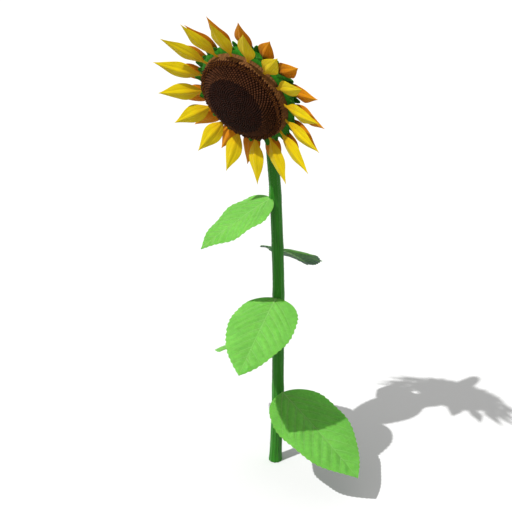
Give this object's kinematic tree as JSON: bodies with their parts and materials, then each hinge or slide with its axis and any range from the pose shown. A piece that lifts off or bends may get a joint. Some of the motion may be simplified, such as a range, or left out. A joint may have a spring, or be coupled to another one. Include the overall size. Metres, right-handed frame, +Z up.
{
  "type": "sunflower plant",
  "caption": "Dwarf sunflower plant rooted in the ground: leaning stem, ovate leaves and a nodding flower head with yellow and orange ray florets.",
  "frame": {"origin": "middle of the flat cut at the foot of the stem, at ground level", "axes": "+Z up; the flower head nods and faces between -X and -Y"},
  "size_m": [0.2964, 0.2806, 0.7419],
  "materials": {
    "stem": "fresh green stem, ribbed and hairy, dull",
    "leaf": "fresh leaf, veined, dull",
    "bract": "green bracts and receptacle, hairy, dull",
    "disc": "brown disc florets, matt and rough",
    "disc_heart": "unopened dark brown disc florets, matt and rough",
    "ray_yellow": "yellow ray florets, finely ribbed, satin",
    "ray_orange": "orange ray florets, finely ribbed, satin"
  },
  "bodies": {
    "root": {"stem": "stem", "leaf_1": "leaf", "leaf_2": "leaf", "leaf_3": "leaf", "leaf_4": "leaf", "leaf_5": "leaf", "receptacle": "bract", "disc_ring": "disc", "disc_heart": "disc_heart", "ray_front_01": "ray_yellow", "ray_front_02": "ray_yellow", "ray_front_03": "ray_yellow", "ray_front_04": "ray_yellow", "ray_front_05": "ray_yellow", "ray_front_06": "ray_yellow", "ray_front_07": "ray_yellow", "ray_front_08": "ray_yellow", "ray_front_09": "ray_yellow", "ray_front_10": "ray_yellow", "ray_front_11": "ray_yellow", "ray_front_12": "ray_yellow", "ray_front_13": "ray_yellow", "ray_front_14": "ray_yellow", "ray_front_15": "ray_yellow", "ray_front_16": "ray_yellow", "ray_back_01": "ray_orange", "ray_back_02": "ray_orange", "ray_back_03": "ray_orange", "ray_back_04": "ray_orange", "ray_back_05": "ray_orange", "ray_back_06": "ray_orange", "ray_back_07": "ray_orange", "ray_back_08": "ray_orange", "ray_back_09": "ray_orange", "ray_back_10": "ray_orange", "ray_back_11": "ray_orange", "ray_back_12": "ray_orange", "ray_back_13": "ray_orange", "ray_back_14": "ray_orange", "ray_back_15": "ray_orange", "ray_back_16": "ray_orange"}
  },
  "joints": []
}
